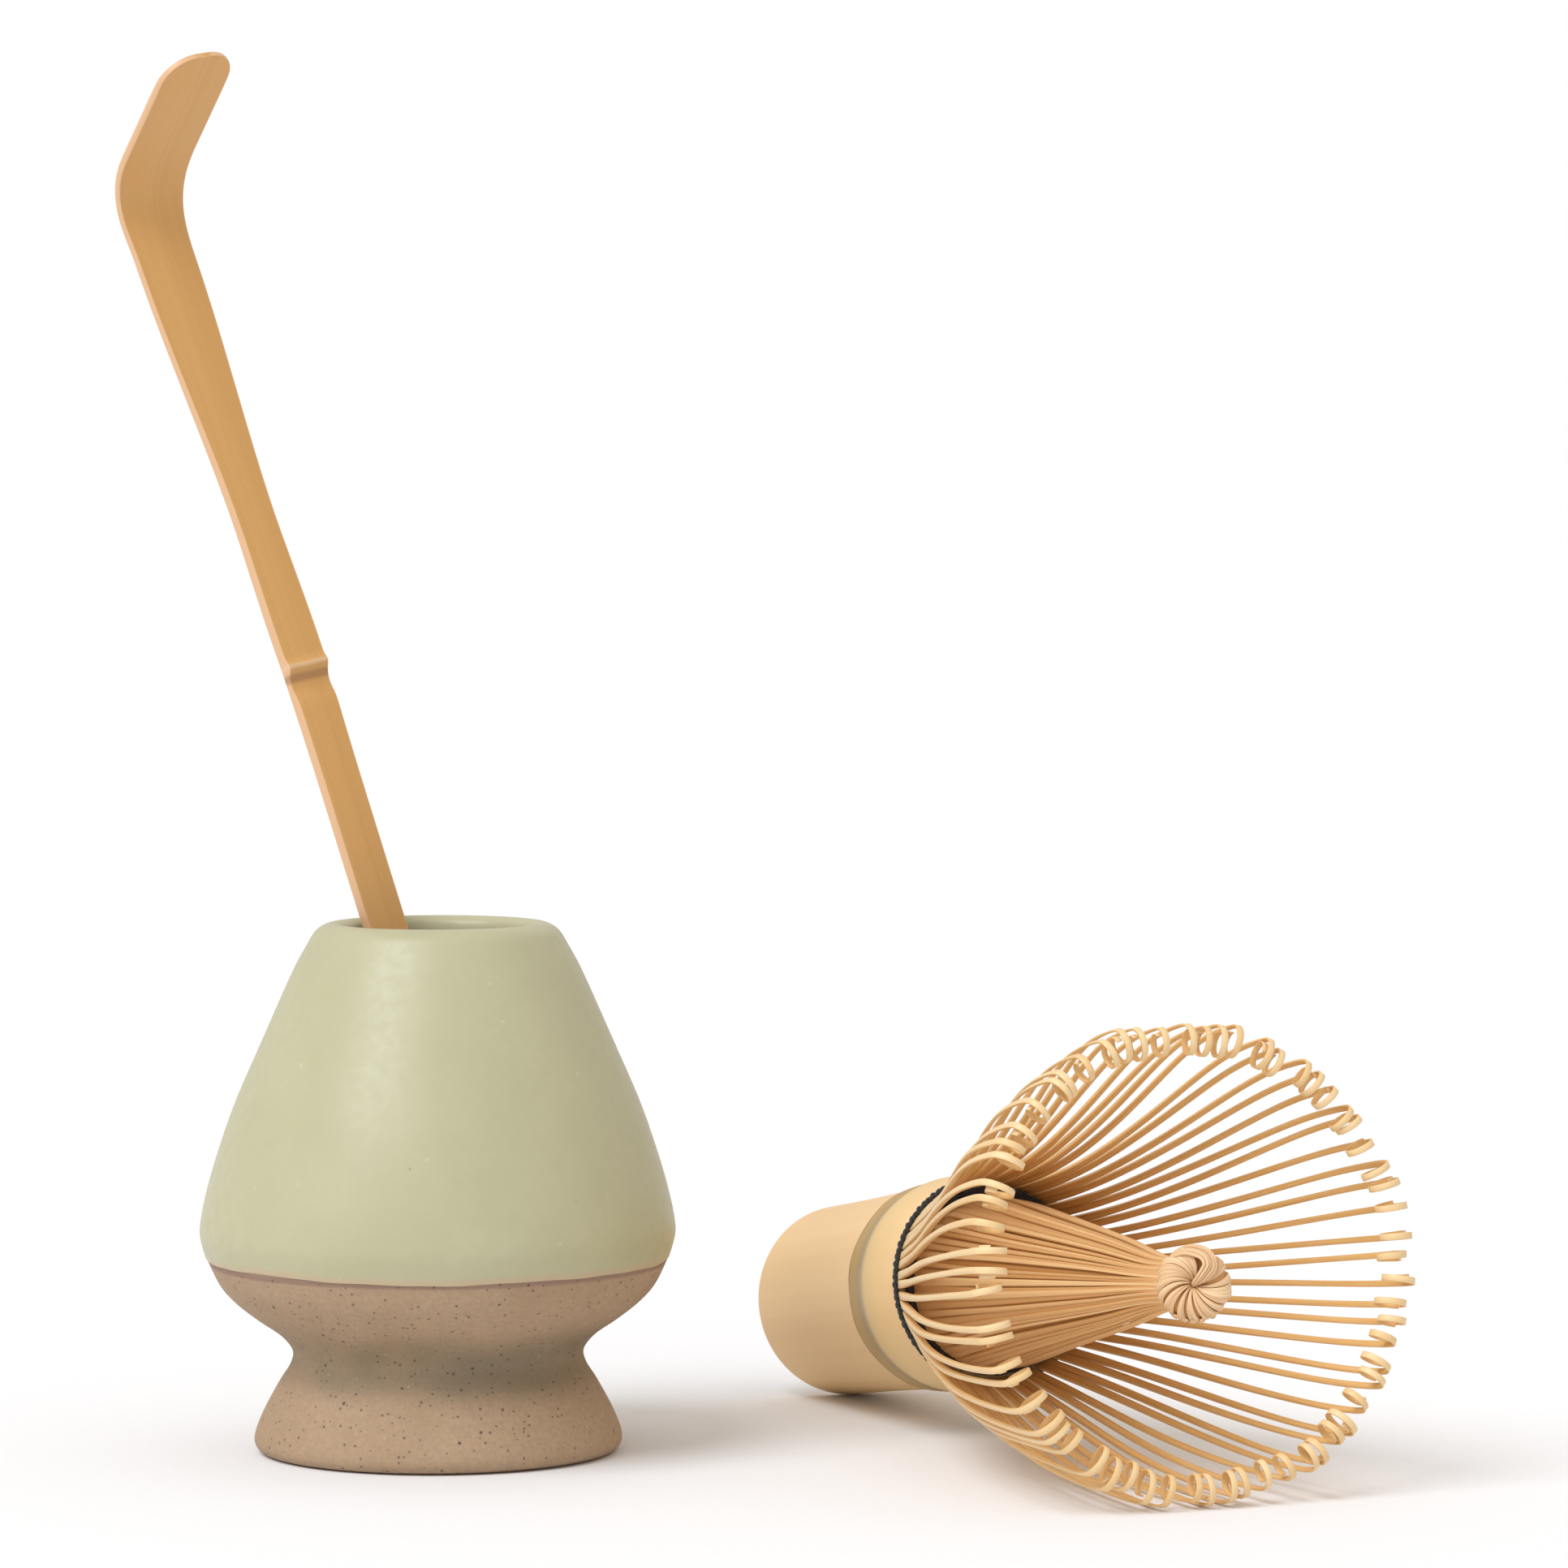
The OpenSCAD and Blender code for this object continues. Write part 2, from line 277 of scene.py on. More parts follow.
def node(tree, kind, settings=None, **links):
    """Adds a node. Each link is a socket to read from, or a plain value, and goes to the input of that name,
    where _ stands for a space, or to the input of that number, as in in0."""
    made = tree.nodes.new("ShaderNode" + kind)
    for key, value in (settings or {}).items():
        setattr(made, key, value)
    for label, value in links.items():
        key = int(label[2:]) if label.startswith("in") and label[2:].isdigit() else label.replace("_", " ")
        if isinstance(value, bpy.types.NodeSocket):
            tree.links.new(value, made.inputs[key])
        else:
            made.inputs[key].default_value = value
    return made


def maths(tree, operation, a, b=0.0):
    """One step of arithmetic. Returns its output socket."""
    return node(tree, "Math", {"operation": operation}, in0=a, in1=b).outputs[0]


def soft_step(tree, value, low, high):
    """Goes softly from 0 to 1 while a value goes from low to high."""
    return node(tree, "MapRange", {"interpolation_type": "SMOOTHSTEP"}, Value=value, From_Min=low,
                From_Max=high).outputs[0]


print("helpers for nodes are ready")

# %% Soft mottling
tree, gin, gout = group("soft_mottle", {"Place": None, "Scale": 100.0, "Low": 0.35, "High": 0.65}, ["Mask"])
noise = node(tree, "TexNoise", Vector=gin["Place"], Scale=gin["Scale"], Detail=4.0, Roughness=0.55)
tree.links.new(soft_step(tree, noise.outputs[0], gin["Low"], gin["High"]), gout["Mask"])
soft_mottle = tree
print("made", tree.name)

# %% Specks of many sizes
tree, gin, gout = group("specks", {"Place": None, "Scale": 900.0, "Size": 0.3, "Share": 0.4},
                        ["Mask", "Height"])
cells = node(tree, "TexVoronoi", Vector=gin["Place"], Scale=gin["Scale"])
pull = node(tree, "SeparateColor", Color=cells.outputs["Color"])
chosen = maths(tree, "LESS_THAN", pull.outputs[0], gin["Share"])
reach = maths(tree, "MULTIPLY", gin["Size"], pull.outputs[1])
inside = soft_step(tree, cells.outputs["Distance"], reach, maths(tree, "MULTIPLY", reach, 0.35))
mask = maths(tree, "MULTIPLY", inside, chosen)
tree.links.new(mask, gout["Mask"])
tree.links.new(maths(tree, "MULTIPLY", mask, -1.0), gout["Height"])
specks = tree
print("made", tree.name)

# %% Fibre streaks
tree, gin, gout = group("fibre", {"Grain": None, "Length": 30.0, "Fineness": 2500.0}, ["Mask", "Height"])
stretch = node(tree, "CombineXYZ", X=gin["Length"], Y=gin["Fineness"], Z=gin["Fineness"])
laid = node(tree, "VectorMath", {"operation": "MULTIPLY"}, in0=gin["Grain"], in1=stretch.outputs[0])
fine = node(tree, "TexNoise", Vector=laid.outputs[0], Scale=1.0, Detail=3.0, Roughness=0.6)
tree.links.new(soft_step(tree, fine.outputs[0], 0.34, 0.66), gout["Mask"])
tree.links.new(fine.outputs[0], gout["Height"])
fibre = tree
print("made", tree.name)

# %% A band that wanders
tree, gin, gout = group("wandering_band", {
    "Distance": 0.0, "Centre": 0.0, "Half Width": 0.001, "Softness": 0.0005, "Place": None,
    "Wander Scale": 200.0, "Wander": 0.0003}, ["Mask"])
noise = node(tree, "TexNoise", Vector=gin["Place"], Scale=gin["Wander Scale"], Detail=2.0)
drift = maths(tree, "MULTIPLY", maths(tree, "SUBTRACT", noise.outputs[0], 0.5),
              maths(tree, "MULTIPLY", gin["Wander"], 2.0))
off_centre = maths(tree, "SUBTRACT", gin["Distance"], gin["Centre"])
gap = maths(tree, "ABSOLUTE", maths(tree, "ADD", drift, off_centre))
outer_edge = maths(tree, "ADD", gin["Half Width"], gin["Softness"])
tree.links.new(soft_step(tree, gap, outer_edge, gin["Half Width"]), gout["Mask"])
wandering_band = tree
print("made", tree.name)


# %% [markdown]
# ## Finishes
# Each finish starts from one Principled shader. Roughness sits on the shader's own socket unless it changes
# over the surface. Colours are written as light values, the numbers a shader works in, so a mid grey is
# nearer to 0.2 than to 0.5.


# %% Helpers for materials
def start(name, roughness, **fixed):
    """A material with its shader. fixed sets the shader's own sockets."""
    made = bpy.data.materials.new(name)
    made.use_nodes = True
    shader = made.node_tree.nodes["Principled BSDF"]
    shader.inputs["Roughness"].default_value = roughness
    for label, value in fixed.items():
        shader.inputs[label.replace("_", " ")].default_value = value
    return made, made.node_tree, shader


def use(tree, effect, **links):
    """Places a shared effect in a material."""
    return node(tree, "Group", {"node_tree": effect}, **links)


def mask_of(tree, effect, **links):
    """The mask of a shared effect that is placed in a material."""
    return use(tree, effect, **links).outputs["Mask"]


def mottle(tree, place, scale, low, high):
    """The mask of soft mottling."""
    return mask_of(tree, soft_mottle, Place=place, Scale=scale, Low=low, High=high)


def band(tree, distance, place, centre, half, soft, wander_scale, wander):
    """The mask of a wandering band. Its centre, half width, softness and wander are in metres."""
    return mask_of(tree, wandering_band, Distance=distance, Centre=centre, Half_Width=half, Softness=soft,
                   Place=place, Wander_Scale=wander_scale, Wander=wander)


def blend(tree, mask, a, b):
    """Goes from colour a to colour b by mask. Returns the colour socket."""
    return node(tree, "Mix", {"data_type": "RGBA"}, Factor=mask, in6=a, in7=b).outputs[2]


def tint(tree, body, mask, share, colour):
    """Lays a colour over the body where the mask is, by that share at most."""
    return blend(tree, maths(tree, "MULTIPLY", mask, share), body, colour)


def fact(tree, name):
    """Reads a fact that the mesh's points carry: its value and its vector."""
    made = node(tree, "Attribute", {"attribute_name": name})
    return made.outputs["Fac"], made.outputs["Vector"]


def raise_surface(tree, shader, height, strength, distance):
    """Feeds a height to the shader's normal through a bump."""
    bump = node(tree, "Bump", Height=height, Strength=strength, Distance=distance)
    tree.links.new(bump.outputs[0], shader.inputs["Normal"])


print("helpers for materials are ready")

# %% [markdown]
# The stoneware is a warm grey-brown body with grog and iron specks that burn out nearly black, and wheel
# lines too faint to see except where light rakes them. Close under the glaze the clay takes a mauve-brown
# flash line. The waist, tucked under the belly, is painted a darker grey-brown there as shade.

# %% Stoneware
stoneware, tree, shader = start("stoneware", 0.78)
place = node(tree, "TexCoord").outputs["Object"]
rise, _ = fact(tree, "glaze_gap")
coarse = mottle(tree, place, 60.0, 0.3, 0.7)
sand = mottle(tree, place, 1500.0, 0.3, 0.7)
patchy = mottle(tree, place, 36.0, 0.30, 0.62)
iron = mask_of(tree, specks, Place=place, Scale=1400.0, Size=0.44, Share=0.42)
dots = use(tree, specks, Place=place, Scale=760.0, Size=0.29, Share=0.22)
pale = mask_of(tree, specks, Place=place, Scale=1000.0, Size=0.30, Share=0.10)
flash = band(tree, rise, place, -0.0003, 0.0002, 0.0005, 260.0, 0.0002)
# A soft band round the waist, under the overhang of the belly, is painted darker as shade.
waist_shade_band = band(tree, rise, place, -0.0125, 0.001, 0.005, 60.0, 0.002)
painted_waist_shade = maths(tree, "MULTIPLY", waist_shade_band, maths(tree, "ADD", maths(tree, "MULTIPLY", patchy, 0.6), 0.2))
body = blend(tree, coarse, (0.392, 0.266, 0.158, 1), (0.446, 0.312, 0.196, 1))
body = tint(tree, body, sand, 0.35, (0.270, 0.195, 0.135, 1))
body = blend(tree, painted_waist_shade, body, (0.200, 0.164, 0.106, 1))
for mask, share, colour in ((flash, 0.7, (0.250, 0.150, 0.115, 1)), (pale, 0.4, (0.50, 0.42, 0.33, 1)),
                            (iron, 0.75, (0.085, 0.060, 0.045, 1)),
                            (dots.outputs["Mask"], 0.85, (0.050, 0.038, 0.032, 1))):
    body = tint(tree, body, mask, share, colour)
tree.links.new(body, shader.inputs["Base Color"])
rings = node(tree, "TexWave", {"bands_direction": "Z"}, Vector=place, Scale=420.0, Distortion=3.0,
             Detail=2.0, Detail_Scale=0.6)
height = maths(tree, "ADD", maths(tree, "MULTIPLY", rings.outputs["Fac"], 0.35), sand)
height = maths(tree, "ADD", height, dots.outputs["Height"])
raise_surface(tree, shader, height, 0.35, 0.00006)
print("made", stoneware.name)

# %% [markdown]
# The glaze is a satin matt: it scatters most of the light, and a broad sheen slides over it. A satin glaze is
# not a sharp mirror under a coat, so roughness alone carries it, with a faint pooling of colour. At its lower
# edge it is thin, and the iron of the clay burns through as a warm cream line.

# %% Glaze
glaze, tree, shader = start("sage_glaze", 0.40)
place = node(tree, "TexCoord").outputs["Object"]
rise, _ = fact(tree, "glaze_gap")
cloud = mottle(tree, place, 70.0, 0.25, 0.75)
fine = mottle(tree, place, 700.0, 0.3, 0.7)
iron = mask_of(tree, specks, Place=place, Scale=420.0, Size=0.16, Share=0.10)
pale = mask_of(tree, specks, Place=place, Scale=520.0, Size=0.26, Share=0.10)
edge = band(tree, rise, place, 0.0, 0.0004, 0.0007, 180.0, 0.0003)
body = blend(tree, cloud, (0.438, 0.424, 0.262, 1), (0.470, 0.456, 0.290, 1))
for mask, share, colour in ((fine, 0.25, (0.415, 0.405, 0.245, 1)), (pale, 0.35, (0.60, 0.60, 0.46, 1)),
                            (iron, 0.45, (0.20, 0.16, 0.10, 1)), (edge, 0.65, (0.520, 0.385, 0.240, 1))):
    body = tint(tree, body, mask, share, colour)
tree.links.new(body, shader.inputs["Base Color"])
sheen = node(tree, "MapRange", Value=fine, To_Min=0.36, To_Max=0.44)
tree.links.new(sheen.outputs[0], shader.inputs["Roughness"])
height = maths(tree, "ADD", cloud, maths(tree, "MULTIPLY", fine, 0.12))
raise_surface(tree, shader, height, 0.12, 0.00008)
print("made", glaze.name)


# %% [markdown]
# Bamboo has long straight fibres. Skin, the outside of the culm, is smooth and hides them. The inner wood
# shows them as fine streaks, and a cut end shows them as dots. One recipe makes all five bamboo finishes,
# each with its own colours, gloss and fibre size. The fact "tone" is one number for each tine or strip, so
# that no two match; the strips buried under the others in the core and the knot get the lowest tone, as
# painted shade.

# %% A recipe for bamboo
def bamboo(name, roughness, deep, pale, fineness=2500.0, length=30.0, contrast=0.5, tone=0.0,
           relief=0.3):
    """A bamboo finish with its tree, its shader, its body colour and the mask of its fibres."""
    made, tree, shader = start(name, roughness)
    _, grain = fact(tree, "grain")
    threads = use(tree, fibre, Grain=grain, Length=length, Fineness=fineness)
    share = mask_of(tree, fibre, Grain=grain, Length=length * 0.4, Fineness=fineness * 0.12)
    if tone:
        own, _ = fact(tree, "tone")
        share = maths(tree, "ADD", maths(tree, "MULTIPLY", share, 1 - tone),
                      maths(tree, "MULTIPLY", own, tone))
    body = blend(tree, share, deep, pale)
    darker = tuple(v * 0.62 for v in deep[:3]) + (1,)
    body = tint(tree, body, threads.outputs["Mask"], contrast, darker)
    raise_surface(tree, shader, threads.outputs["Height"], relief, 0.00004)
    return made, tree, shader, body, threads.outputs["Mask"]


print("one recipe for bamboo")

# %% Bamboo of the scoop
scoop_bamboo, tree, shader, body, _ = bamboo(
    "scoop_bamboo", 0.42, (0.600, 0.318, 0.094, 1), (0.640, 0.352, 0.112, 1),
    fineness=1600.0, length=10.0, contrast=0.10, relief=0.12)
side, _ = fact(tree, "side")
_, grain = fact(tree, "grain")
reach = node(tree, "SeparateXYZ", Vector=grain).outputs["X"]
seam = band(tree, reach, grain, 0.0975, 0.0002, 0.0007, 500.0, 0.0001)
crest = band(tree, reach, grain, 0.0991, 0.0001, 0.0004, 500.0, 0.0001)
body = blend(tree, side, body, (0.700, 0.430, 0.230, 1))
body = tint(tree, body, seam, 0.6, (0.30, 0.135, 0.05, 1))
body = tint(tree, body, crest, 0.6, (0.72, 0.50, 0.30, 1))
tree.links.new(body, shader.inputs["Base Color"])
print("made", scoop_bamboo.name)

# %% Bamboo skin of the handle
JOINT = 0.0366
culm_bamboo, tree, shader, body, _ = bamboo(
    "culm_bamboo", 0.45, (0.800, 0.530, 0.250, 1), (0.840, 0.580, 0.290, 1),
    fineness=700.0, length=8.0, contrast=0.07, relief=0.1)
_, grain = fact(tree, "grain")
cut, _ = fact(tree, "cut")
reach = node(tree, "SeparateXYZ", Vector=grain).outputs["X"]
# The band in the groove past the step is partly the node's own olive colour and partly painted shade that
# falls in the groove.
groove_olive_and_shade = band(tree, reach, grain, JOINT + 0.0030, 0.0010, 0.0065, 150.0, 0.0008)
past_step = maths(tree, "MULTIPLY", maths(tree, "GREATER_THAN", reach, JOINT + 0.0001), 0.92)
rim = band(tree, reach, grain, JOINT + 0.0012, 0.0006, 0.0008, 260.0, 0.0002)
# A lighter band on the crest of the swelling past the joint is a painted highlight, where the swelling faces
# the key.
swell_painted_highlight = band(tree, reach, grain, JOINT + 0.0088, 0.002, 0.003, 150.0, 0.0006)
line = band(tree, reach, grain, JOINT + 0.0001, 0.0003, 0.0004, 260.0, 0.00012)
dashes = mottle(tree, grain, 420.0, 0.25, 0.55)
pores = mask_of(tree, specks, Place=node(tree, "TexCoord").outputs["Object"], Scale=1500.0, Size=0.5,
                Share=0.7)
body = tint(tree, body, groove_olive_and_shade, past_step, (0.330, 0.235, 0.100, 1))
body = tint(tree, body, rim, 0.6, (0.480, 0.300, 0.110, 1))
body = tint(tree, body, swell_painted_highlight, 0.75, (0.760, 0.530, 0.235, 1))
body = tint(tree, body, maths(tree, "MULTIPLY", line, dashes), 0.85, (0.290, 0.130, 0.040, 1))
end = tint(tree, (0.56, 0.38, 0.19, 1), pores, 0.7, (0.26, 0.14, 0.06, 1))
tree.links.new(blend(tree, cut, body, end), shader.inputs["Base Color"])
gloss = node(tree, "MapRange", Value=cut, To_Min=0.45, To_Max=0.85)
tree.links.new(gloss.outputs[0], shader.inputs["Roughness"])
print("made", culm_bamboo.name)

# %% Split bamboo of the outer tines
tine_bamboo, tree, shader, body, threads = bamboo(
    "tine_bamboo", 0.45, (0.800, 0.540, 0.250, 1), (0.880, 0.660, 0.370, 1),
    fineness=5200.0, length=60.0, contrast=0.14, tone=0.7, relief=0.3)
inner, _ = fact(tree, "inner")
wood = blend(tree, threads, (0.700, 0.420, 0.150, 1), (0.810, 0.520, 0.220, 1))
tree.links.new(blend(tree, inner, body, wood), shader.inputs["Base Color"])
print("made", tine_bamboo.name)

# %% Split bamboo of the core and the knot
# A faint glow in the core's own orange is painted light: it brightens the side of the core that faces away
# from the key, where too little light bounces up from the floor.
CORE_PAINTED_GLOW, PAINTED_GLOW_STRENGTH = (0.90, 0.52, 0.19, 1), 0.06
core_bamboo, tree, shader, body, _ = bamboo(
    "core_bamboo", 0.48, (0.540, 0.240, 0.052, 1), (0.950, 0.660, 0.340, 1),
    fineness=3600.0, length=30.0, contrast=0.16, tone=0.8, relief=0.35)
tree.links.new(body, shader.inputs["Base Color"])
shader.inputs["Emission Color"].default_value = CORE_PAINTED_GLOW
shader.inputs["Emission Strength"].default_value = PAINTED_GLOW_STRENGTH

knot_bamboo, tree, shader, body, _ = bamboo(
    "knot_bamboo", 0.48, (0.600, 0.280, 0.080, 1), (0.940, 0.690, 0.420, 1),
    fineness=4600.0, length=80.0, contrast=0.40, tone=0.80, relief=0.6)
tree.links.new(body, shader.inputs["Base Color"])
print("made", core_bamboo.name, knot_bamboo.name)


# %% Thread
def cotton(name, roughness, deep, pale):
    """A finish for cotton thread, with fine hairs along it."""
    made, tree, shader = start(name, roughness, Sheen_Weight=0.25, Sheen_Roughness=0.4)
    _, grain = fact(tree, "grain")
    hairs = use(tree, fibre, Grain=grain, Length=900.0, Fineness=4200.0)
    tree.links.new(blend(tree, hairs.outputs["Mask"], deep, pale), shader.inputs["Base Color"])
    raise_surface(tree, shader, hairs.outputs["Height"], 0.5, 0.00008)
    return made


thread_black = cotton("black_thread", 0.72, (0.010, 0.012, 0.013, 1), (0.030, 0.034, 0.036, 1))
thread_navy = cotton("navy_thread", 0.66, (0.016, 0.018, 0.028, 1), (0.040, 0.044, 0.062, 1))
print("made", thread_black.name, thread_navy.name)

# %% [markdown]
# ## The stand
# A whisk stand is thrown as a small closed pot: a flared foot, a narrow waist, a round belly, and a shoulder
# that runs up to a thick rolled lip. A plain revolve of the profile would look machined, so the radius
# swells by a few hundredths of a millimetre in slow waves, as a thrown wall does. The glaze is a skin of its
# own that starts thin at a slightly uneven line, because it was poured and the foot was wiped.

# %% Profile of the clay
FOOT_R, WAIST_R, MOUTH_R = 24.8, 19.65, 12.3
BELLY_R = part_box("glaze_coat")[1].x / MM
STAND_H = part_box("glaze_coat")[1].z / MM
WALL, FLOOR_Z, GLAZE_Z, GLAZE_T = 4.0, 10.0, 26.2, 0.4
RECESS_R, RECESS = 18.0, 1.5

bare = spline([
    [FOOT_R - 2.2, 0], [FOOT_R - 0.6, 0.5], [FOOT_R, 2], [FOOT_R - 1.1, 5.2], [WAIST_R + 1.8, 9.4],
    [WAIST_R + 0.3, 11.8], [WAIST_R, 13.8], [WAIST_R + 1.7, 16], [BELLY_R - 7.5, 18.2],
    [BELLY_R - 4.6, 20.5], [BELLY_R - 2.6, 22.8], [BELLY_R - 0.95, GLAZE_Z]], 6)
glazed = spline([
    [BELLY_R - 0.95, GLAZE_Z], [BELLY_R - 0.2, GLAZE_Z + 2.4], [BELLY_R, GLAZE_Z + 5.0],
    [BELLY_R - 1.6, 38], [BELLY_R - 4.6, 46.8], [BELLY_R - 8.4, 55.6], [BELLY_R - 12.3, 64.4],
    [MOUTH_R + 5.4, 68.2], [MOUTH_R + 3.9, STAND_H - 0.9], [MOUTH_R + 1.9, STAND_H],
    [MOUTH_R + 0.4, STAND_H - 0.7], [MOUTH_R, STAND_H - 2.4]], 8)
PASSES, EASED = 12, 30
for _ in range(PASSES):
    glazed[1:EASED] = (glazed[:EASED - 1] + 2 * glazed[1:EASED] + glazed[2:EASED + 1]) / 4
hollow = spline([
    [MOUTH_R, STAND_H - 2.4], [MOUTH_R + 0.9, 65], [BELLY_R - 12.6 - WALL / 2, 58],
    [BELLY_R - 4.4 - WALL, 44], [BELLY_R - 0.6 - WALL, 34], [BELLY_R - 0.9 - WALL, 27],
    [WAIST_R + 4.6 - WALL / 2, 20], [WAIST_R - WALL + 0.3, 15.4], [WAIST_R - WALL, 13],
    [WAIST_R - WALL, FLOOR_Z + 1.5], [WAIST_R - WALL - 1.5, FLOOR_Z]], 5)
print("stand:", round(BELLY_R * 2, 1), "mm wide and", round(STAND_H, 1), "mm high")


# %% The clay
def thrown(rows):
    """The slow unevenness of a wall raised by hand."""
    turn = np.arctan2(rows[:, :, 1], rows[:, :, 0])
    z = rows[:, :, 2]
    wave = 0.03 * np.sin(2 * turn + 0.6) + 0.02 * np.sin(3 * turn + z / 9)
    share = 1 + wave / BELLY_R * smooth(z / 6)
    rows[:, :, 0] *= share
    rows[:, :, 1] *= share
    return rows


# The clay steps in under the glaze by the glaze's thickness, and comes out to it again inside the mouth. The
# fact "glaze_gap" says how far a point is above the glaze's edge. Inside the pot it is set out of reach.
CLAY_SEGMENTS, UNDER_SHOWN, OUT_OF_REACH = 168, 60, -20.0
foot = [[0, RECESS], [RECESS_R - 1.4, RECESS], [RECESS_R - 0.9, RECESS - 0.2], [RECESS_R - 0.3, 0.4],
        [RECESS_R, 0]]
along = length_along(glazed)
fade = smooth((along - 0.2) / 2.5) * smooth((along[-1] - along) / 0.8)
under = glazed + (inset(glazed, GLAZE_T) - glazed) * fade[:, None]
wall_line = np.concatenate([foot, bare, under[1:], hollow[1:], [[0, FLOOR_Z]]])
rows = thrown(lathe(wall_line, CLAY_SEGMENTS))
on_outside = (np.arange(len(wall_line)) < len(foot) + len(bare) + UNDER_SHOWN)[:, None]
gap = np.where(on_outside, rows[:, :, 2] - GLAZE_Z, OUT_OF_REACH)
stand_clay = build("stand_clay", rows, skin(rows, lids=False), {"glaze_gap": gap.ravel() * MM},
                   stoneware, sharp=50)


# %% The glaze
GLAZE_SEGMENTS = 240


def glaze_line(turn):
    """Height of the glaze's edge above its mean, round the stand."""
    return (0.16 * np.sin(2 * turn + 1.1) + 0.10 * np.sin(5 * turn + 0.4)
            + 0.05 * np.sin(11 * turn + 2.0) + 0.03 * np.sin(23 * turn))


def glaze_skin(line, shift, thin):
    """Rows of one side of the glaze: the first follow the uneven edge and, by shift, stand out over it."""
    rows = lathe(line, GLAZE_SEGMENTS)
    turn = np.arctan2(rows[:, :, 1], rows[:, :, 0])
    near = 1 - smooth((rows[:, :, 2] - GLAZE_Z) / 4)
    rows[:, :, 2] += near * glaze_line(turn)
    step = np.linalg.norm(rows[:, :, :2], axis=2)
    share = 1 + shift * (1 - smooth(np.abs(rows[:, :, 2] - GLAZE_Z) / thin)) / np.maximum(step, 1)
    rows[:, :, :2] *= share[:, :, None]
    return rows


outer_side = glaze_skin(glazed, 0.15, 6.0)
inner_side = glaze_skin(inset(glazed, GLAZE_T * 0.8), 0.0, 1.0)[::-1]
rows = thrown(np.concatenate([outer_side, inner_side]))
bead = (rows[:1] + rows[-1:]) / 2
bead[:, :, 2] -= 0.05
rows = np.concatenate([bead, rows, bead])
turn = np.arctan2(rows[:, :, 1], rows[:, :, 0])
gap = rows[:, :, 2] - GLAZE_Z - glaze_line(turn)
stand_glaze = build("stand_glaze", rows, skin(rows, lids=False), {"glaze_gap": gap.ravel() * MM},
                    glaze, sharp=60)

# %% Put the stand on its body
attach(stand_clay, "stand")
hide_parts("stand_body")
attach(stand_glaze, "stand")
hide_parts("glaze_coat")
print("the stand rides on the body named stand")

# %% [markdown]
# ## The scoop
# A tea scoop is one strip of bamboo, thinned with a knife and bent over steam at the tip. The joint of the
# culm is kept near the middle: the face rises to a crisp ridge there, and just below it lies a small hollow.
# A curve with a bevel could follow the bend but not the ridge, so the strip is laid out in stations along
# its length, each with its own width, thickness and bump on the face.

# %% The strip's measures
JOINT_S, BEND_S, BEND_LEN, TIP_LEN = 99.0, 160.0, 15.0, 17.0
SCOOP_LEN = BEND_S + BEND_LEN + TIP_LEN
TIP_ROUND = 4.5
BEND_ANGLE, JOINT_SET = 61, 2.7
STEM_W, BLADE_GAIN, TIP_GAIN, JOINT_GAIN = 6.3, 3.3, 2.2, 0.6
STEM_T, BLADE_LOSS, TIP_LOSS = 1.75, 0.55, 0.35
SCOOP_PLACE = (11.1, 0.2, FLOOR_Z + 1.7)
TURN_X, TURN_Y, TURN_Z = math.radians(-6), math.radians(-17.4), math.radians(40)
scoop_frame = (Matrix.Translation(SCOOP_PLACE) @ Matrix.Rotation(TURN_X, 4, "X")
               @ Matrix.Rotation(TURN_Y, 4, "Y") @ Matrix.Rotation(TURN_Z, 4, "Z"))


def scoop_angle(s):
    """Lean of the strip out of its own plane, in degrees."""
    bend = (BEND_ANGLE + JOINT_SET) * smooth((s - BEND_S) / BEND_LEN)
    return np.where(s < JOINT_S, 0.0, bend - JOINT_SET)


def scoop_width(s):
    """Width of the strip, with its rounded tip."""
    wide = (STEM_W + JOINT_GAIN * np.exp(-((s - JOINT_S - 5) / 12) ** 2)
            + BLADE_GAIN * smooth((s - JOINT_S - 18) / (BEND_S - JOINT_S - 20))
            + TIP_GAIN * smooth((s - BEND_S + 2) / BEND_LEN))
    u = np.clip(1 - (SCOOP_LEN - s) / TIP_ROUND, 0, 1)
    return wide - 2 * TIP_ROUND * (1 - np.sqrt(1 - u * u))


def scoop_thickness(s):
    """Thickness of the strip, thinner past the joint and at the very tip."""
    return (STEM_T - BLADE_LOSS * smooth((s - JOINT_S) / (BEND_S - JOINT_S))
            - TIP_LOSS * smooth((s - SCOOP_LEN + 7) / 7))


def joint_bump(s):
    """Height of the face above the plain strip: a ridge with a hollow just below it."""
    return 0.45 * np.exp(-((s - JOINT_S) / 0.8) ** 2) - 0.55 * np.exp(-((s - JOINT_S + 2.6) / 1.7) ** 2)


print("scoop:", SCOOP_LEN, "mm along the strip")

